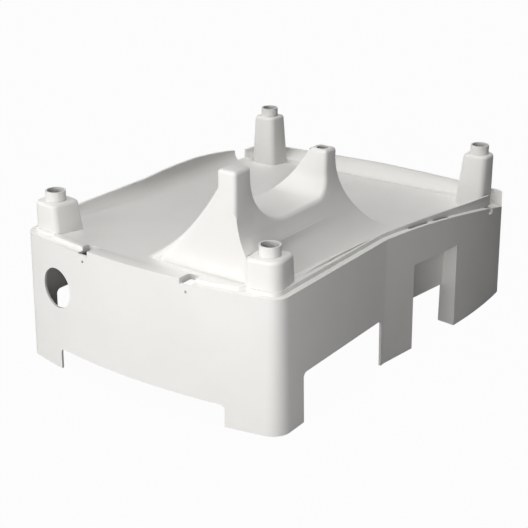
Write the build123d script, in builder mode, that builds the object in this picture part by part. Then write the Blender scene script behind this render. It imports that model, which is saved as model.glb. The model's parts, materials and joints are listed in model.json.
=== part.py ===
"""Injection moulded plastic housing: one open-bottomed moulding standing on its legs.

Millimetres. X runs along the front wall, +Y goes to the rear, +Z is up, z = 0 is the floor.
"""

from math import atan2, cos, degrees, radians, sin, sqrt, tan
import os

from build123d import *

os.makedirs("parts", exist_ok=True)

# ---- shell -----------------------------------------------------------------------------------
WALL = 4.0  # nominal moulded wall
DRAFT = 1.2  # degrees, walls lean in towards the top
HALF_LENGTH = 373.0  # middle of the bowed front and rear walls, at the floor
BOW_RADIUS = 1000.0  # plan radius of the front and rear walls
HALF_FRONT = 250.0  # straight front part of the side walls, at the floor
BEND_Y = -46.0  # where the side walls turn outwards
FLARE_END = (270.0, 102.0)  # end of the straight flare
REAR_CORNER = (272.0, 349.0)  # side wall meets rear wall, before rounding
CORNER_R = 30.0

# ---- rim heights -----------------------------------------------------------------------------
DECK_EDGE_Z = 219.0  # crest round the front and right of the deck
LEDGE_STEP = 6.5  # ledge below that crest
LEDGE_WIDTH = 10.0
LEDGE_FALL_R = 1540.0  # the right ledge falls away behind the bend
EDGE_FALL_R = 2580.0  # so does the crest above it
EDGE_END_Y = 288.0
LEFT_WALL_Z = 223.0
LEFT_FALL_R = 1700.0
LEFT_WALL_START = -285.0
LEFT_WALL_END = 252.0
LEFT_STUB_Z = 173.0
REAR_RIM_Z = 190.0
REAR_RIM_START = 290.0
REAR_LIP = 11.0  # the rear rim ends this far short of the rear corner

# ---- deck ------------------------------------------------------------------------------------
DECK_FRONT = (-356.0, 218.5)  # y, z
DECK_REAR = (345.0, 165.5)
BASIN_FILLET = 24.0
SIDE_RIM = 4.5  # thickness of the left and rear rims
RAMP_WIDTH = 52.0  # concave run up from the deck to the right edge
RAMP_SAG = 0.18  # share of the rise that the run dips below a straight one
RAMP_START_Y = -325.0
UPSTAND = 3.0  # thickness of the right edge

# ---- posts and sockets -----------------------------------------------------------------------
FRONT_POST = (206.0, -306.0)
REAR_POST = (227.5, 312.0)
FRONT_TURN = 7.6  # degrees, the front posts follow the bowed wall
FRONT_HALF = 27.0  # half width at the top
REAR_HALF = 23.0
POST_BASE_Z = 155.0
POST_IN_DRAFT = 5.0  # degrees, faces towards the deck
POST_OUT_DRAFT = 0.4  # degrees, faces towards the walls
SOCKET_TOP_Z = 278.5
SOCKET_H = 16.0
SOCKET_R = 16.0
SOCKET_BORE_R = 13.5
POST_OUTER_R = 18.0

# ---- saddle between the two pylons -----------------------------------------------------------
SADDLE_X = (126.0, 159.0)
SADDLE_FRONT_Y = -322.0
NEAR_TOP_Z = 377.0
NEAR_BACK_Y = -284.0
FAR_TOP_Z = 352.0
FAR_Y = (-90.0, -59.0)
CRADLE_Z = 283.0
CRADLE_NEAR_R = 80.0
CRADLE_FAR_R = 32.0
LEFT_FLARE = ((126.0, 350.0), (58.0, 267.0), (-75.0, 183.0))  # x, z down to the deck
RIGHT_FLARE = ((159.0, 320.0), (176.0, 256.0), (234.0, 194.0))
BACK_FLARE = ((-59.0, 335.0), (-30.0, 255.0), (75.0, 178.0))  # y, z
FLARE_BASE_Z = 140.0
FAR_BORE_R = 9.0

# ---- openings --------------------------------------------------------------------------------
FRONT_CUT_HALF = 163.0
FRONT_CUT_Z = 35.0
SIDE_CUT_Y = (-281.0, -57.0)
RIGHT_CUT_Z = 80.0
LEFT_CUT_Z = 90.0
CUT_R = 8.0
CABLE_X = -166.0
CABLE_Z = 138.0
CABLE_R = 33.0
CLIP_X = 99.0
CLIP_W = 20.0
CLIP_DEPTH = 26.0
CLIP_FLOOR_Z = 180.0
CLIP_ALIGN = (Align.CENTER, Align.MAX, Align.MIN)
SCREW_X = 100.0
SCREW_Z = 200.0
SCREW_R = 2.25
RECESS_Y = (28.0, 150.0)
RECESS_Z = 148.0
RECESS_DEPTH = 30.0
RECESS_MID = (RECESS_Y[0] + RECESS_Y[1]) / 2
RECESS_PANEL_Z = 70.0
SLOTS_Y = ((22.0, 75.0), (89.0, 133.0))
SLOT_W = 4.0
REAR_NOTCH_Y = (266.0, 281.0)
REAR_NOTCH_DROP = 12.0

LEFT_SPLIT = 200.0  # the left wall's own edge line applies beyond this distance
TALL = 420.0
SKY = 500.0
REACH = 800.0
SIDE_ON = Plane.YZ.offset(-REACH)
FRONT_ON = Plane.XZ.offset(-REACH)


def deck_z(y):
    """Height of the sloping deck at a distance along the housing."""
    (y0, z0), (y1, z1) = DECK_FRONT, DECK_REAR
    return z0 + (z1 - z0) * (y - y0) / (y1 - y0)


def fall(y, top, radius):
    """Height of an edge that is level to the bend and then falls away on an arc."""
    run = max(0.0, y - BEND_Y)
    return top - (radius - sqrt(radius**2 - run**2))


def bow_y(x):
    """Distance of the bowed front or rear wall from the middle of the housing, at the floor."""
    return HALF_LENGTH - (BOW_RADIUS - sqrt(BOW_RADIUS**2 - x**2))


FLARE_ANGLE = degrees(atan2(FLARE_END[0] - HALF_FRONT, FLARE_END[1] - BEND_Y))
chord = (REAR_CORNER[0] - FLARE_END[0], REAR_CORNER[1] - FLARE_END[1])
inwards = (-cos(radians(FLARE_ANGLE)), sin(radians(FLARE_ANGLE)))
BULGE_R = (chord[0] ** 2 + chord[1] ** 2) / (2 * (chord[0] * inwards[0] + chord[1] * inwards[1]))


def side_x(y):
    """Half width of the housing at the floor: straight, flared, then bulging."""
    (x1, y1) = FLARE_END
    if y <= BEND_Y:
        return HALF_FRONT
    if y <= y1:
        return HALF_FRONT + (x1 - HALF_FRONT) * (y - BEND_Y) / (y1 - BEND_Y)
    x0, y0 = x1 + BULGE_R * inwards[0], y1 + BULGE_R * inwards[1]
    return x0 + sqrt(BULGE_R**2 - (y - y0) ** 2)


# ---- plan of the outside, at the floor --------------------------------------------------------
front_y = -bow_y(HALF_FRONT)
tangent = (sin(radians(FLARE_ANGLE)), cos(radians(FLARE_ANGLE)))
with BuildSketch() as plan:
    with BuildLine():
        ThreePointArc(
            (0, -HALF_LENGTH),
            (HALF_FRONT / 2, -bow_y(HALF_FRONT / 2)),
            (HALF_FRONT, front_y),
        )
        Line((HALF_FRONT, front_y), (HALF_FRONT, BEND_Y))
        Line((HALF_FRONT, BEND_Y), FLARE_END)
        TangentArc(FLARE_END, REAR_CORNER, tangent=tangent)
        ThreePointArc(
            REAR_CORNER,
            (REAR_CORNER[0] / 2, bow_y(REAR_CORNER[0] / 2)),
            (0, HALF_LENGTH),
        )
        mirror(about=Plane.YZ)
    make_face()
    corners = plan.vertices().filter_by(lambda v: abs(v.X) > 240 and abs(v.Y) > 300)
    fillet(corners, CORNER_R)


# ---- posts: square in section, with the corner towards the walls rounded -----------------------
def post_section(centre, side, half, turn, z, inset):
    """Sketch of a post at height z; side holds the signs of x and y that point outwards."""
    down = SOCKET_TOP_Z - SOCKET_H - z
    inward = down * tan(radians(POST_IN_DRAFT))
    outward = down * tan(radians(POST_OUT_DRAFT))
    size = half + (inward + outward) / 2 - inset
    shift = (inward - outward) / 2
    x, y = centre[0] - side[0] * shift, centre[1] - side[1] * shift
    with BuildSketch(Plane.XY.offset(z)) as section:
        with Locations(Location((x, y, 0), (0, 0, turn))):
            Rectangle(2 * size, 2 * size)
        outwards = section.vertices().sort_by(
            lambda v: (v.X - x) * side[0] + (v.Y - y) * side[1]
        )
        fillet(outwards[-1], POST_OUTER_R - inset)
    return section.sketch


def post_solid(centre, side, half, turn, top, inset):
    """Tapered tower between the base height and its top."""
    with BuildPart() as tower:
        low = post_section(centre, side, half, turn, POST_BASE_Z - inset, inset)
        high = post_section(centre, side, half, turn, top, inset)
        loft(sections=[low, high])
    return tower.part


POST_TOP_Z = SOCKET_TOP_Z - SOCKET_H
POSTS = [
    (FRONT_POST, (1, -1), FRONT_HALF, FRONT_TURN),
    (FRONT_POST, (-1, -1), FRONT_HALF, -FRONT_TURN),
    (REAR_POST, (1, 1), REAR_HALF, 0.0),
    (REAR_POST, (-1, 1), REAR_HALF, 0.0),
]
towers = []
hollows = []
sockets = []
for (x, y), side, half, turn in POSTS:
    centre = (side[0] * x, y)
    towers.append(post_solid(centre, side, half, turn, POST_TOP_Z, 0.0))
    hollows.append(post_solid(centre, side, half, turn, POST_TOP_Z - WALL, WALL))
    sockets.append(centre)

# ---- edge lines and the sloping deck -----------------------------------------------------------
def above_edge(top, radius, lift):
    """Region of the YZ plane above an edge that is level to the bend and then falls away."""
    end = HALF_LENGTH + WALL
    middle = (BEND_Y + end) / 2
    with BuildSketch(SIDE_ON) as region:
        with BuildLine():
            Line((-REACH, top + lift), (BEND_Y, top + lift))
            ThreePointArc(
                (BEND_Y, top + lift),
                (middle, fall(middle, top, radius) + lift),
                (end, fall(end, top, radius) + lift),
            )
            Line((end, fall(end, top, radius) + lift), (end, SKY))
            Line((end, SKY), (-REACH, SKY))
            Line((-REACH, SKY), (-REACH, top + lift))
        make_face()
    return region.sketch


def above_deck(lift):
    """Region of the YZ plane above the deck."""
    low, high = -HALF_LENGTH - WALL, HALF_LENGTH + WALL
    with BuildSketch(SIDE_ON) as region:
        Polygon(
            (low, deck_z(low) + lift),
            (high, deck_z(high) + lift),
            (high, SKY),
            (low, SKY),
            align=None,
        )
    return region.sketch


# ---- outside block, its inset plans and what lies above the rims -------------------------------
LEDGE_Z = DECK_EDGE_Z - LEDGE_STEP
RIM_LEAN = LEDGE_Z * tan(radians(DRAFT))
LEDGE_INSET = RIM_LEAN + LEDGE_WIDTH
BASIN_INSET = RIM_LEAN + SIDE_RIM
LIP_Y = REAR_CORNER[1] - REAR_LIP

with BuildSketch() as ledge_plan:
    add(plan.sketch)
    offset(amount=-LEDGE_INSET, mode=Mode.REPLACE)

with BuildSketch() as basin_plan:
    add(plan.sketch)
    offset(amount=-BASIN_INSET, mode=Mode.REPLACE)

with BuildSketch() as inside_plan:
    add(plan.sketch)
    offset(amount=-WALL, mode=Mode.REPLACE)

# everything above the rims: the right and middle share one edge line, the left wall has its own
with BuildSketch(SIDE_ON) as right_sky:
    with BuildLine():
        middle = (BEND_Y + EDGE_END_Y) / 2
        Line((-REACH, DECK_EDGE_Z), (BEND_Y, DECK_EDGE_Z))
        ThreePointArc(
            (BEND_Y, DECK_EDGE_Z),
            (middle, fall(middle, DECK_EDGE_Z, EDGE_FALL_R)),
            (EDGE_END_Y, fall(EDGE_END_Y, DECK_EDGE_Z, EDGE_FALL_R)),
        )
        Polyline(
            (EDGE_END_Y, fall(EDGE_END_Y, DECK_EDGE_Z, EDGE_FALL_R)),
            (EDGE_END_Y, fall(EDGE_END_Y, LEDGE_Z, LEDGE_FALL_R)),
            (LIP_Y, fall(LIP_Y, LEDGE_Z, LEDGE_FALL_R)),
            (LIP_Y, REAR_RIM_Z),
            (REACH, REAR_RIM_Z),
            (REACH, SKY),
            (-REACH, SKY),
            (-REACH, DECK_EDGE_Z),
        )
    make_face()

with BuildSketch(SIDE_ON) as left_sky:
    with BuildLine():
        middle = (BEND_Y + LEFT_WALL_END) / 2
        Polyline(
            (-REACH, DECK_EDGE_Z),
            (LEFT_WALL_START, DECK_EDGE_Z),
            (LEFT_WALL_START, LEFT_WALL_Z),
            (BEND_Y, LEFT_WALL_Z),
        )
        ThreePointArc(
            (BEND_Y, LEFT_WALL_Z),
            (middle, fall(middle, LEFT_WALL_Z, LEFT_FALL_R)),
            (LEFT_WALL_END, fall(LEFT_WALL_END, LEFT_WALL_Z, LEFT_FALL_R)),
        )
        Polyline(
            (LEFT_WALL_END, fall(LEFT_WALL_END, LEFT_WALL_Z, LEFT_FALL_R)),
            (LEFT_WALL_END, LEFT_STUB_Z),
            (REAR_RIM_START, LEFT_STUB_Z),
            (REAR_RIM_START, REAR_RIM_Z),
            (REACH, REAR_RIM_Z),
            (REACH, SKY),
            (-REACH, SKY),
            (-REACH, DECK_EDGE_Z),
        )
    make_face()

with BuildPart() as envelope:
    add(plan.sketch)
    extrude(amount=LEFT_WALL_Z + LEDGE_WIDTH, taper=DRAFT)

# the ledge runs outside the deck's edge, except on the raised left wall, the rear wall and
# the rolled middle of the front wall
with BuildSketch() as ledge_band:
    Rectangle(2 * TALL, 2 * TALL)
    add(ledge_plan.sketch, mode=Mode.SUBTRACT)
    with Locations((0, -TALL / 2)):
        Rectangle(2 * CLIP_X + CLIP_W, TALL, mode=Mode.SUBTRACT)
    with Locations((0, LEFT_WALL_START)):
        Rectangle(TALL + WALL, 2 * TALL, align=(Align.MAX, Align.MIN), mode=Mode.SUBTRACT)
    with Locations((0, LIP_Y)):
        Rectangle(2 * TALL + WALL, TALL, align=(Align.CENTER, Align.MIN), mode=Mode.SUBTRACT)

with BuildPart() as ledge:
    add(ledge_band.sketch)
    extrude(amount=TALL - WALL)
    extrude(above_edge(LEDGE_Z, LEDGE_FALL_R, 0.0), amount=2 * REACH, mode=Mode.INTERSECT)

with BuildPart() as basin:
    add(basin_plan.sketch)
    extrude(amount=TALL)
    with BuildSketch(Plane.XY.offset(-WALL)):
        with Locations((SIDE_RIM - LEDGE_WIDTH - UPSTAND, 0)):
            add(basin_plan.sketch)
    extrude(amount=SKY, mode=Mode.INTERSECT)
    extrude(above_deck(0.0), amount=2 * REACH, mode=Mode.INTERSECT)
    low_edges = basin.faces().sort_by(Axis.Z)[0].edges()
    round_edges = low_edges.filter_by(lambda e: e.center().X < -200 or e.center().Y > 300)
    fillet(round_edges, BASIN_FILLET)


def ramp_section(y, below):
    """Section of the concave run up to the right edge; below > 0 gives the hollow under it."""
    outer = side_x(y) - RIM_LEAN
    edge = fall(y, DECK_EDGE_Z, EDGE_FALL_R) - UPSTAND / 2
    ledge_z = fall(y, LEDGE_Z, LEDGE_FALL_R)
    low = deck_z(y) - below
    start = outer - LEDGE_WIDTH - UPSTAND + 1.0
    foot = start - RAMP_WIDTH
    with BuildSketch(Plane.XZ.offset(-y)) as section:
        with BuildLine():
            if below:
                start = outer - LEDGE_WIDTH - UPSTAND - below / 2
                edge = ledge_z - below
                Line((outer - WALL, low - 2 * WALL), (outer - WALL, edge))
                Line((outer - WALL, edge), (start, edge))
            else:
                Line((start, low - WALL / 2), (start, edge))
            sag = RAMP_SAG * (edge - low)
            ThreePointArc(
                (start, edge),
                ((start + foot) / 2, (edge + low) / 2 - sag),
                (foot, low),
            )
            if below:
                Line((foot, low), (foot, low - 2 * WALL))
                Line((foot, low - 2 * WALL), (outer - WALL, low - 2 * WALL))
            else:
                Line((foot, low), (foot, low - WALL / 2))
                Line((foot, low - WALL / 2), (start, low - WALL / 2))
        make_face()
    return section.sketch


RAMP_STATIONS = (RAMP_START_Y, BEND_Y, FLARE_END[1], 200.0, EDGE_END_Y)
with BuildPart() as ramp:
    loft(sections=[ramp_section(y, 0.0) for y in RAMP_STATIONS])

CORE_STATIONS = (BEND_Y - 60.0, BEND_Y, FLARE_END[1], 200.0, EDGE_END_Y - 2 * WALL)
with BuildPart() as ramp_core:
    loft(sections=[ramp_section(y, WALL) for y in CORE_STATIONS], ruled=True)

with BuildPart() as core:
    add(inside_plan.sketch)
    extrude(amount=TALL, taper=DRAFT)
    extrude(above_edge(LEDGE_Z, LEDGE_FALL_R, -WALL), amount=2 * REACH, mode=Mode.SUBTRACT)
    extrude(above_deck(-WALL), amount=2 * REACH, mode=Mode.SUBTRACT)


def saddle_body(inset):
    """Body of the two pylons and the cradle between them, drawn in from its outside by inset."""
    with BuildSketch(FRONT_ON) as across:
        with BuildLine():
            (x0, z0), (x1, z1), (x2, z2) = LEFT_FLARE
            Polyline((x2, FLARE_BASE_Z), (x2, z2))
            ThreePointArc((x2, z2), (x1, z1), (x0, z0))
            Polyline(
                (x0, z0),
                (SADDLE_X[0], NEAR_TOP_Z + 1),
                (SADDLE_X[1], NEAR_TOP_Z + 1),
                RIGHT_FLARE[0],
            )
            ThreePointArc(*RIGHT_FLARE)
            Polyline(RIGHT_FLARE[2], (RIGHT_FLARE[2][0], FLARE_BASE_Z), (x2, FLARE_BASE_Z))
        make_face()
        if inset:
            offset(amount=-inset, mode=Mode.REPLACE)
    with BuildSketch(SIDE_ON) as along:
        with BuildLine():
            near_z = CRADLE_Z + CRADLE_NEAR_R
            near_y = NEAR_BACK_Y + CRADLE_NEAR_R
            far_z = CRADLE_Z + CRADLE_FAR_R
            far_y = FAR_Y[0] - CRADLE_FAR_R
            Polyline(
                (BACK_FLARE[2][0], FLARE_BASE_Z),
                (SADDLE_FRONT_Y, FLARE_BASE_Z),
                (SADDLE_FRONT_Y, NEAR_TOP_Z),
                (NEAR_BACK_Y, NEAR_TOP_Z),
                (NEAR_BACK_Y, near_z),
            )
            RadiusArc((NEAR_BACK_Y, near_z), (near_y, CRADLE_Z), -CRADLE_NEAR_R)
            Line((near_y, CRADLE_Z), (far_y, CRADLE_Z))
            RadiusArc((far_y, CRADLE_Z), (FAR_Y[0], far_z), -CRADLE_FAR_R)
            Polyline(
                (FAR_Y[0], far_z), (FAR_Y[0], FAR_TOP_Z), (FAR_Y[1], FAR_TOP_Z), BACK_FLARE[0]
            )
            ThreePointArc(*BACK_FLARE)
            Line(BACK_FLARE[2], (BACK_FLARE[2][0], FLARE_BASE_Z))
        make_face()
        if inset:
            offset(amount=-inset, mode=Mode.REPLACE)
    with BuildPart() as body:
        extrude(across.sketch, amount=2 * REACH)
        extrude(along.sketch, amount=2 * REACH, mode=Mode.INTERSECT)
    return body.part


saddle = saddle_body(0.0)
saddle_core = saddle_body(WALL)

flare_plane = Plane(
    origin=(side_x(RECESS_MID), RECESS_MID, 0),
    x_dir=(sin(radians(FLARE_ANGLE)), cos(radians(FLARE_ANGLE)), 0),
    z_dir=(cos(radians(FLARE_ANGLE)), -sin(radians(FLARE_ANGLE)), 0),
)
recess_half = (RECESS_Y[1] - RECESS_Y[0]) / 2 / cos(radians(FLARE_ANGLE))

with BuildPart() as recess_shell:
    with BuildSketch(flare_plane.offset(-RECESS_DEPTH - WALL)):
        Rectangle(
            2 * (recess_half + WALL),
            RECESS_Z + WALL,
            align=(Align.CENTER, Align.MIN),
        )
    extrude(amount=2 * RECESS_DEPTH)
    add(envelope.part, mode=Mode.INTERSECT)

with BuildPart() as pocket:
    with BuildSketch(flare_plane.offset(-RECESS_DEPTH)) as pocket_face:
        with Locations((0, -WALL)):
            Rectangle(2 * recess_half, RECESS_Z + WALL, align=(Align.CENTER, Align.MIN))
        top_corner = pocket_face.vertices().sort_by(Axis.Z)[-2:].sort_by(Axis.Y)[0]
        fillet(top_corner, CUT_R)
    extrude(amount=2 * RECESS_DEPTH)
    with BuildSketch(flare_plane.offset(-RECESS_DEPTH - 2 * WALL)):
        with Locations((0, -WALL)):
            Rectangle(2 * recess_half, RECESS_PANEL_Z + WALL, align=(Align.CENTER, Align.MIN))
    extrude(amount=3 * RECESS_DEPTH)

with BuildPart() as right_cut:
    extrude(right_sky.sketch, amount=2 * REACH)
    with Locations((-LEFT_SPLIT, 0, -WALL)):
        Box(
            REACH,
            3 * REACH,
            2 * SKY,
            align=(Align.MAX, Align.CENTER, Align.MIN),
            mode=Mode.SUBTRACT,
        )

with BuildPart() as left_cut:
    extrude(left_sky.sketch, amount=REACH - LEFT_SPLIT)

# ---- the moulding ------------------------------------------------------------------------------
with BuildPart() as housing:
    add(envelope.part)
    add(right_cut.part, mode=Mode.SUBTRACT)
    add(left_cut.part, mode=Mode.SUBTRACT)
    add(basin.part, mode=Mode.SUBTRACT)
    add(ledge.part, mode=Mode.SUBTRACT)
    add(ramp.part)
    for tower in towers:
        add(tower)
    add(saddle)
    add(core.part, mode=Mode.SUBTRACT)
    add(ramp_core.part, mode=Mode.SUBTRACT)
    for hollow in hollows:
        add(hollow, mode=Mode.SUBTRACT)
    add(saddle_core, mode=Mode.SUBTRACT)
    with Locations([(x, y, POST_TOP_Z - 1.0) for x, y in sockets]):
        Cylinder(SOCKET_R, SOCKET_H + 1.0, align=(Align.CENTER, Align.CENTER, Align.MIN))
    with Locations([(x, y, POST_TOP_Z - 2 * WALL) for x, y in sockets]):
        Cylinder(
            SOCKET_BORE_R,
            SOCKET_H + 3 * WALL,
            align=(Align.CENTER, Align.CENTER, Align.MIN),
            mode=Mode.SUBTRACT,
        )
    add(recess_shell.part)
    add(pocket.part, mode=Mode.SUBTRACT)
    # bottom edge openings
    with BuildSketch(Plane.XZ.offset(HALF_LENGTH + WALL)):
        RectangleRounded(2 * FRONT_CUT_HALF, 2 * FRONT_CUT_Z, CUT_R)
    extrude(amount=-2 * (HALF_LENGTH + WALL), mode=Mode.SUBTRACT)
    for side, cut_z in ((1, RIGHT_CUT_Z), (-1, LEFT_CUT_Z)):
        with BuildSketch(Plane.YZ):
            with Locations(((SIDE_CUT_Y[0] + SIDE_CUT_Y[1]) / 2, 0)):
                RectangleRounded(SIDE_CUT_Y[1] - SIDE_CUT_Y[0], 2 * cut_z, CUT_R)
        extrude(amount=side * REACH, mode=Mode.SUBTRACT)
    # cable hole, screw holes, clip windows
    with BuildSketch(Plane.XZ.offset(HALF_LENGTH + WALL)):
        with Locations((CABLE_X, CABLE_Z)):
            Circle(CABLE_R)
        with Locations((-SCREW_X, SCREW_Z), (SCREW_X, SCREW_Z)):
            Circle(SCREW_R)
    extrude(amount=-HALF_LENGTH / 3, mode=Mode.SUBTRACT)
    clip_y = -bow_y(CLIP_X) + RIM_LEAN
    for x in (-CLIP_X, CLIP_X):
        with Locations((x, clip_y + CLIP_DEPTH, CLIP_FLOOR_Z)):
            Box(CLIP_W, CLIP_DEPTH - WALL, TALL, align=CLIP_ALIGN, mode=Mode.SUBTRACT)
        with Locations((x, clip_y + CLIP_DEPTH / 2, LEDGE_Z - WALL / 2)):
            Box(CLIP_W, 2 * CLIP_DEPTH, TALL, align=CLIP_ALIGN, mode=Mode.SUBTRACT)
    # slots at the foot of the right edge and the notch near its rear end
    for y0, y1 in SLOTS_Y:
        x = side_x((y0 + y1) / 2) - RIM_LEAN - LEDGE_WIDTH + SLOT_W / 2
        with BuildSketch(Plane.XY.offset(DECK_REAR[1])):
            with Locations(Location((x, (y0 + y1) / 2, 0), (0, 0, -FLARE_ANGLE))):
                Rectangle(SLOT_W, y1 - y0)
        extrude(amount=TALL, mode=Mode.SUBTRACT)
    notch_z = fall(REAR_NOTCH_Y[0], LEDGE_Z, LEDGE_FALL_R) - REAR_NOTCH_DROP
    notch_x = side_x(REAR_NOTCH_Y[0]) - RIM_LEAN - LEDGE_WIDTH
    with Locations((notch_x, REAR_NOTCH_Y[0], notch_z)):
        Box(REACH, REAR_NOTCH_Y[1] - REAR_NOTCH_Y[0], TALL, align=Align.MIN, mode=Mode.SUBTRACT)
    far_bore = (sum(SADDLE_X) / 2, sum(FAR_Y) / 2, FAR_TOP_Z - 2 * WALL)
    with Locations(far_bore):
        Cylinder(
            FAR_BORE_R,
            3 * WALL,
            align=(Align.CENTER, Align.CENTER, Align.MIN),
            mode=Mode.SUBTRACT,
        )

housing.part.label = "housing"
export_step(housing.part, "parts/housing.step")
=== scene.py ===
# %% [markdown]
# # A moulded machine housing in plain light
# The housing is one injection moulding: a deep shell that stands on its wall ends, a sloping
# deck, four posts with open rings and a saddle between two pylons. The construction model gives
# its exact shape, so the work here is on its soft edges, its satin plastic and the light.

import json
from math import cos, radians, sin, sqrt

import bmesh
import bpy
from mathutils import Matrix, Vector


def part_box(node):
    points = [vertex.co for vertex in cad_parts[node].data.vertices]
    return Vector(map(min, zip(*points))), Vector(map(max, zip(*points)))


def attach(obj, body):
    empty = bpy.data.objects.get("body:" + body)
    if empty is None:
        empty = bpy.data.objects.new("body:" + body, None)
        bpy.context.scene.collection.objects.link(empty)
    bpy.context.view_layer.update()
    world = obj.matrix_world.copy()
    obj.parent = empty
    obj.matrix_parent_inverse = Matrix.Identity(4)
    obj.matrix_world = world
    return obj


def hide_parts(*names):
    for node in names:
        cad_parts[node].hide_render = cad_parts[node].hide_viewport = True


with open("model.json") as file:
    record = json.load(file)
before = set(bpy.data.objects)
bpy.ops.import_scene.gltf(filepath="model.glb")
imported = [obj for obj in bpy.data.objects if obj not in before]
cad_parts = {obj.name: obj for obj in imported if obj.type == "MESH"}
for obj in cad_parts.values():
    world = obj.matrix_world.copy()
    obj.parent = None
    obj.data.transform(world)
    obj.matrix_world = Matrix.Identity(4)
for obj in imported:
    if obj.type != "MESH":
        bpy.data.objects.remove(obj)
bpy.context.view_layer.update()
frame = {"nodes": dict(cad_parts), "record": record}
low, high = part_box("housing")
size = high - low
print("housing", [round(v, 3) for v in size])

# %% [markdown]
# ## The camera
# A long lens from well back keeps the walls nearly parallel. It looks down by 22 degrees, past
# the front right corner, so the front wall, the right wall and the whole deck show.

# %% Camera
LENS_MM = 80.6
CAMERA_TILT = 21.96
CAMERA_TURN = 35.25
CAMERA_PLACE = Vector((1.0817, -1.5598, 0.8653))

camera_data = bpy.data.cameras.new("camera")
camera_data.lens = LENS_MM
camera_data.sensor_width = 36.0
camera = bpy.data.objects.new("camera", camera_data)
camera.location = CAMERA_PLACE
camera.rotation_euler = (radians(90 - CAMERA_TILT), 0, radians(CAMERA_TURN))
bpy.context.scene.collection.objects.link(camera)
bpy.context.scene.camera = camera

# %% [markdown]
# ## Shader sums as plain Python
# A finish is a few sums on noise and position. Wrapping each socket in a small class lets those
# sums be written as expressions, and every expression adds its own Math nodes.


# %% Socket sums
class Value:
    """A socket of a node tree that can be added, multiplied and so on."""

    def __init__(self, tree, socket):
        self.tree = tree
        self.socket = socket

    def sum_node(self, operation, first, second):
        return self.tree.node("ShaderNodeMath", {"operation": operation}, [first, second])

    def __add__(self, other):
        return self.sum_node("ADD", self, other)

    def __radd__(self, other):
        return self.sum_node("ADD", other, self)

    def __sub__(self, other):
        return self.sum_node("SUBTRACT", self, other)

    def __rsub__(self, other):
        return self.sum_node("SUBTRACT", other, self)

    def __mul__(self, other):
        return self.sum_node("MULTIPLY", self, other)

    def __rmul__(self, other):
        return self.sum_node("MULTIPLY", other, self)


class Finish:
    """A new material and the one method that adds nodes to it."""

    def __init__(self, name):
        self.material = bpy.data.materials.new(name)
        self.material.use_nodes = True
        self.tree = self.material.node_tree
        self.tree.nodes.clear()

    def node(self, kind, settings=None, inputs=None, output=0):
        """Add a node: settings first, then socket values or links by name or place."""
        made = self.tree.nodes.new(kind)
        for key, value in (settings or {}).items():
            if key == "stops":
                for stop, (place, colour) in zip(made.color_ramp.elements, value):
                    stop.position = place
                    stop.color = colour
            else:
                setattr(made, key, value)
        pairs = inputs.items() if isinstance(inputs, dict) else enumerate(inputs or [])
        for key, value in pairs:
            if isinstance(value, Value):
                self.tree.links.new(value.socket, made.inputs[key])
            else:
                made.inputs[key].default_value = value
        return Value(self, made.outputs[output]) if made.outputs else None


# %% [markdown]
# ## Satin plastic
# The mould was spark-eroded, so the plastic has a very fine even grain that spreads highlights.
# Larger, weaker waves stand for the slight sink and flow marks of a big moulding. The colour is a
# warm light grey that hardly varies.

# %% Plastic finish
PLASTIC = (0.800, 0.792, 0.772, 1)
PLASTIC_DULL = (0.765, 0.757, 0.735, 1)


def satin_plastic(name):
    finish = Finish(name)
    place = finish.node("ShaderNodeTexCoord", output="Object")
    drift = finish.node("ShaderNodeTexNoise", {}, {"Vector": place, "Scale": 7.0, "Detail": 3.0})
    grain = finish.node("ShaderNodeTexNoise", {}, {"Vector": place, "Scale": 900.0, "Detail": 2.0})
    flow = finish.node("ShaderNodeTexNoise", {}, {"Vector": place, "Scale": 16.0, "Detail": 1.0})
    soft = finish.node(
        "ShaderNodeMapRange", {}, {"Value": drift, "From Min": 0.35, "From Max": 0.7}
    )
    colour = finish.node(
        "ShaderNodeMix",
        {"data_type": "RGBA"},
        {"Factor": soft, "A": PLASTIC, "B": PLASTIC_DULL},
        output="Result",
    )
    rough = 0.40 + 0.10 * soft
    height = 0.7 * grain + 2.0 * flow
    bump = finish.node(
        "ShaderNodeBump", {}, {"Height": height, "Strength": 0.08, "Distance": 0.0006}
    )
    shader = finish.node(
        "ShaderNodeBsdfPrincipled",
        {},
        {"Base Color": colour, "Roughness": rough, "Normal": bump, "IOR": 1.46},
    )
    finish.node("ShaderNodeOutputMaterial", {}, {"Surface": shader})
    return finish.material


plastic = satin_plastic("satin_plastic")

# %% [markdown]
# ## The skin
# The construction solid comes as loose triangles with knife-sharp edges. A copy of it is merged
# into clean faces first, so that every real edge is one line that can be found and rounded.

# %% Merged copy
FLAT = radians(0.5)
SHARP = radians(32)
MERGE_DISTANCE = 0.00001

skin = frame["nodes"]["housing"].copy()
skin.name = "housing_skin"
skin.data = skin.data.copy()
skin.data.materials.clear()
skin.data.materials.append(plastic)
bpy.context.scene.collection.objects.link(skin)
shape = bmesh.new()
shape.from_mesh(skin.data)
bmesh.ops.remove_doubles(shape, verts=shape.verts, dist=MERGE_DISTANCE)
bmesh.ops.dissolve_limit(shape, angle_limit=FLAT, verts=shape.verts, edges=shape.edges)
print("merged faces", len(shape.faces))

# %% [markdown]
# ## Rounding what the mould rounds
# The four posts and the saddle have soft edges that catch the light as broad bands. Each kind of
# edge is picked by where it stands and how it runs, then rounded. The places of the posts come
# from the mounts on the record, so they follow the model.

# %% Rounding helpers
mounts = {mount["name"]: mount for mount in frame["record"]["mounts"]}


def sockets(name):
    """Centres of the two sockets of one pair."""
    place = Vector(mounts[name]["pos_m"])
    half = mounts[name]["dims"]["spacing_x_mm"] / 2000
    return [place + Vector((half, 0, 0)), place - Vector((half, 0, 0))]


def is_sharp(edge):
    return edge.is_manifold and edge.calc_face_angle(0.0) > SHARP


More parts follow.
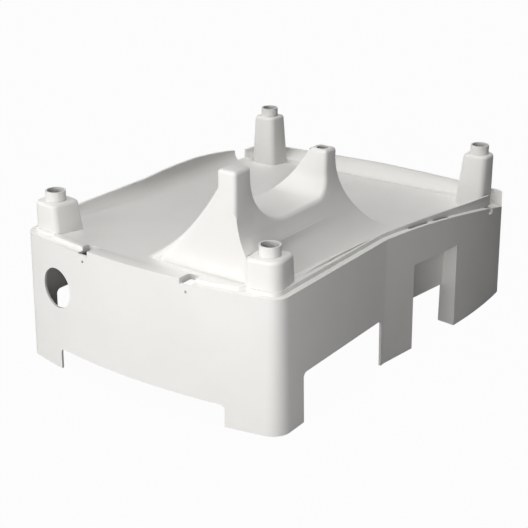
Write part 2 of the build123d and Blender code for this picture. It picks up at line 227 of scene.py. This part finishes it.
def round_edges(edges, radius, segments, clamp=True):
    """Round the given edges and say how many there were."""
    bmesh.ops.bevel(
        shape,
        geom=edges,
        offset=radius,
        offset_type="OFFSET",
        affect="EDGES",
        segments=segments,
        profile=0.5,
        material=-1,
        clamp_overlap=clamp,
    )
    print("rounded", len(edges), "edges to", radius)


# %% [markdown]
# ## Posts
# Seen from above, a post is a square with one large round towards the wall. Its other three
# corners are rounded here. The two walls beside a corner are cut by planes that fan out from the
# middle of the round, and the cut points are pulled in to the round. The top edge goes the same
# way: level cuts, then each ring of points is drawn in towards the middle of the post.

# %% Posts
RING_HEIGHT = 0.016
RING_KEEP = 0.018
POST_REACH = 0.048
LEVEL = 0.0003
CORNER_ROUND = 0.012
CORNER_CUTS = 7
TOP_ROUND = 0.005
TOP_CUTS = 5
POST_HALF = 0.025


def post_walls(centre):
    """Outside faces of a post, without its top, its socket ring and its hollow."""
    found = []
    for face in shape.faces:
        step = face.calc_center_median() - centre
        near = all(
            abs(v.co.x - centre.x) < POST_REACH and abs(v.co.y - centre.y) < POST_REACH
            for v in face.verts
        )
        upright = abs(face.normal.z) < 0.35 and step.z < -RING_HEIGHT
        if near and upright and step.xy.length > RING_KEEP and face.normal.xy.dot(step.xy) > 0:
            found.append(face)
    return found


def cut(faces, place, normal):
    parts = list(faces) + list({e for f in faces for e in f.edges})
    parts += list({v for f in faces for v in f.verts})
    bmesh.ops.bisect_plane(shape, geom=parts, plane_co=place, plane_no=normal)


def corner_frames(centre):
    """Top point, axis and two wall directions of each sharp corner of a post."""
    found = []
    for edge in shape.edges:
        top = max(edge.verts, key=lambda v: v.co.z)
        run = (top.co - edge.other_vert(top).co).normalized()
        step = top.co - centre
        reaches = abs(step.z + RING_HEIGHT) < LEVEL and RING_KEEP < step.xy.length < POST_REACH
        if not (reaches and run.z > 0.9 and is_sharp(edge) and edge.is_convex):
            continue
        first, second = (Vector((-f.normal.y, f.normal.x, 0)).normalized() for f in edge.link_faces)
        first = first if first.dot(step) < 0 else -first
        second = second if second.dot(step) < 0 else -second
        found.append((top.co.copy(), run, first, second))
    return found


def round_corner(centre, top, axis, first, second):
    heart = top + CORNER_ROUND * (first + second)
    for number in range(1, CORNER_CUTS):
        turn = radians(90 * number / CORNER_CUTS)
        spoke = -(first * cos(turn) + second * sin(turn))
        walls = [
            f
            for f in post_walls(centre)
            if any((v.co - top).xy.length < 2.2 * CORNER_ROUND for v in f.verts)
        ]
        cut(walls, heart, axis.cross(spoke))
    for v in {v for f in post_walls(centre) for v in f.verts}:
        middle = heart + axis * ((v.co.z - heart.z) / axis.z)
        step = (v.co - middle).xy
        outside = step.dot(first.xy) < 0 and step.dot(second.xy) < 0
        if outside and CORNER_ROUND < step.length < 1.6 * CORNER_ROUND:
            v.co.xy = middle.xy + step.normalized() * CORNER_ROUND


def round_top(centre):
    top = centre.z - RING_HEIGHT
    for number in range(TOP_CUTS):
        turn = radians(90 * number / TOP_CUTS)
        level = top - TOP_ROUND * (1 - sin(turn))
        cut(post_walls(centre), Vector((centre.x, centre.y, level)), Vector((0, 0, 1)))
    for v in {v for f in post_walls(centre) for v in f.verts}:
        up = v.co.z - top + TOP_ROUND
        if up > 0:
            draw = TOP_ROUND - sqrt(max(0.0, TOP_ROUND**2 - up**2))
            v.co.xy = centre.xy + (v.co - centre).xy * (1 - draw / POST_HALF)


for name in ("front_sockets", "rear_sockets"):
    for centre in sockets(name):
        frames = corner_frames(centre)
        for corner in frames:
            round_corner(centre, *corner)
        round_top(centre)
        print(name, "post with", len(frames), "corners rounded")

# %% [markdown]
# ## Saddle
# The two pylons and the cradle between them are drawn with knife edges in the construction. The
# mould has a broad round on every upper edge and a hollow run-out where the flanks meet the deck.

# %% Saddle
SADDLE_X = (0.018, 0.206)
SADDLE_Y = (-0.330, 0.016)
SADDLE_LOW = 0.205
CREST_ROUND = 0.006
FAR_BORE = Vector((0.1425, -0.0745, 0.352))
RIDGE_X = (0.0, 0.126)
RIDGE_Y = -0.322
FOOT_ROUND = 0.026
RIDGE_CUTS = 8
DECK_FALL = (0.2185 - 0.1655) / (0.345 + 0.356)


def by_a_post(edge):
    return any(
        (v.co - centre).xy.length < POST_REACH
        for name in ("front_sockets", "rear_sockets")
        for centre in sockets(name)
        for v in edge.verts
    )


crest = []
for edge in shape.edges:
    inside = all(
        SADDLE_X[0] < v.co.x < SADDLE_X[1]
        and SADDLE_Y[0] < v.co.y < SADDLE_Y[1]
        and v.co.z > SADDLE_LOW
        for v in edge.verts
    )
    upper = sum(face.normal.z for face in edge.link_faces) > -0.05
    bore = any((v.co - FAR_BORE).xy.length < 0.011 for v in edge.verts)
    if bore or by_a_post(edge):
        continue
    if inside and upper and is_sharp(edge) and edge.is_convex:
        crest.append(edge)
round_edges(crest, CREST_ROUND, 5, clamp=False)

# The ridge on the left of the front face grows rounder towards its foot, until it runs out on
# the deck. Rows of points are cut beside it and let down to a round of growing radius.


def deck_height(y):
    return 0.2185 - DECK_FALL * (y + 0.356)


def drop_of(radius, step):
    """How far a round of this radius lies below its corner's flat side, step away from it."""
    return radius - sqrt(max(0.0, radius**2 - max(0.0, radius - step) ** 2))


def ridge_faces():
    found = []
    for face in shape.faces:
        place = face.calc_center_median()
        across = RIDGE_X[0] - 0.02 < place.x < RIDGE_X[1] and face.normal.z > 0.1
        above = place.z > deck_height(place.y) + 0.0005
        if across and above and RIDGE_Y - 0.001 < place.y < -0.08 and face.normal.x < -0.1:
            found.append(face)
    return found


for number in range(1, RIDGE_CUTS + 1):
    row = RIDGE_Y + FOOT_ROUND * number / RIDGE_CUTS
    cut(ridge_faces(), Vector((0, row, 0)), Vector((0, 1, 0)))
for v in {v for f in ridge_faces() for v in f.verts}:
    step = v.co.y - RIDGE_Y
    share = 1 - v.co.x / RIDGE_X[1]
    if step > FOOT_ROUND or share < 0:
        continue
    radius = CREST_ROUND + (FOOT_ROUND - CREST_ROUND) * min(1.0, share)
    lower = drop_of(radius, step) - drop_of(CREST_ROUND, step)
    v.co.z = min(v.co.z, max(v.co.z - 1.2 * lower, deck_height(v.co.y)))

# %% [markdown]
# ## Skin in place
# Faces are shaded smooth up to every edge that is still sharp, and the skin takes the place of
# the construction solid.

# %% Housing skin
for face in shape.faces:
    face.smooth = True
for edge in shape.edges:
    edge.smooth = not is_sharp(edge)
shape.to_mesh(skin.data)
shape.free()
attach(skin, "root")
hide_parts("housing")
print("skin faces", len(skin.data.polygons))

# %% [markdown]
# ## Floor
# A wide sheet takes the soft shadow. Camera rays that meet it see plain white where no shadow
# falls, so the part stands on an even ground.

# %% Floor
FLOOR_HALF = 6.0

floor_mesh = bpy.data.meshes.new("floor")
floor_shape = bmesh.new()
bmesh.ops.create_grid(floor_shape, x_segments=1, y_segments=1, size=FLOOR_HALF)
floor_shape.to_mesh(floor_mesh)
floor_shape.free()
floor = bpy.data.objects.new("floor", floor_mesh)
bpy.context.scene.collection.objects.link(floor)

floor_finish = Finish("floor_white")
rays = floor_finish.tree.nodes.new("ShaderNodeLightPath")
camera_ray = Value(floor_finish, rays.outputs["Is Camera Ray"])
matt = floor_finish.node("ShaderNodeBsdfDiffuse", {}, {"Color": (0.25, 0.25, 0.25, 1)})
white = floor_finish.node("ShaderNodeEmission", {}, {"Color": (1, 1, 1, 1), "Strength": 1.0})
mixed = floor_finish.node("ShaderNodeMixShader", {}, [camera_ray * 0.97, matt, white])
floor_finish.node("ShaderNodeOutputMaterial", {}, {"Surface": mixed})
floor_mesh.materials.append(floor_finish.material)

# %% [markdown]
# ## Light
# Light from the front and the left is broad and soft, and a small amount falls straight down on
# the deck. Two panels stand close to the front, so that the right wall is lighter at its front
# end and falls off to the rear. Nothing lights the right wall from its own side.

# %% Lamps
SUNS = (
    ("front_light", (-0.10, -1.0, 0.25), 50, 1.4),
    ("left_light", (-1.0, 0.0, 0.45), 60, 0.9),
    ("roof_light", (0.0, 0.0, 1.0), 14, 1.7),
)
PANELS = (
    ("right_panel", (0.75, -1.05, 0.35), (0.25, -0.10, 0.12), 0.7, 3.8),
    ("front_panel", (-0.35, -1.30, 0.25), (0.0, -0.35, 0.15), 0.8, 5.0),
)


def hang(name, lamp_data, towards):
    """Put a lamp in the scene with its light going along -towards."""
    lamp = bpy.data.objects.new(name, lamp_data)
    lamp.rotation_euler = Vector(towards).to_track_quat("Z", "Y").to_euler()
    bpy.context.scene.collection.objects.link(lamp)
    return lamp


for name, comes_from, spread, strength in SUNS:
    sun = bpy.data.lights.new(name, "SUN")
    sun.energy = strength
    sun.angle = radians(spread)
    hang(name, sun, comes_from)

for name, place, target, size, watts in PANELS:
    panel = bpy.data.lights.new(name, "AREA")
    panel.energy = watts
    panel.size = size
    hang(name, panel, Vector(place) - Vector(target)).location = place

world = bpy.data.worlds.new("room")
world.use_nodes = True
bpy.context.scene.world = world
room = world.node_tree.nodes["Background"]
room_rays = world.node_tree.nodes.new("ShaderNodeLightPath")
room_sum = world.node_tree.nodes.new("ShaderNodeMapRange")
room_sum.inputs["To Min"].default_value = 0.03
room_sum.inputs["To Max"].default_value = 1.0
world.node_tree.links.new(room_rays.outputs["Is Camera Ray"], room_sum.inputs["Value"])
world.node_tree.links.new(room_sum.outputs["Result"], room.inputs["Strength"])
room.inputs["Color"].default_value = (1, 1, 1, 1)
bpy.context.scene.view_settings.view_transform = "Standard"
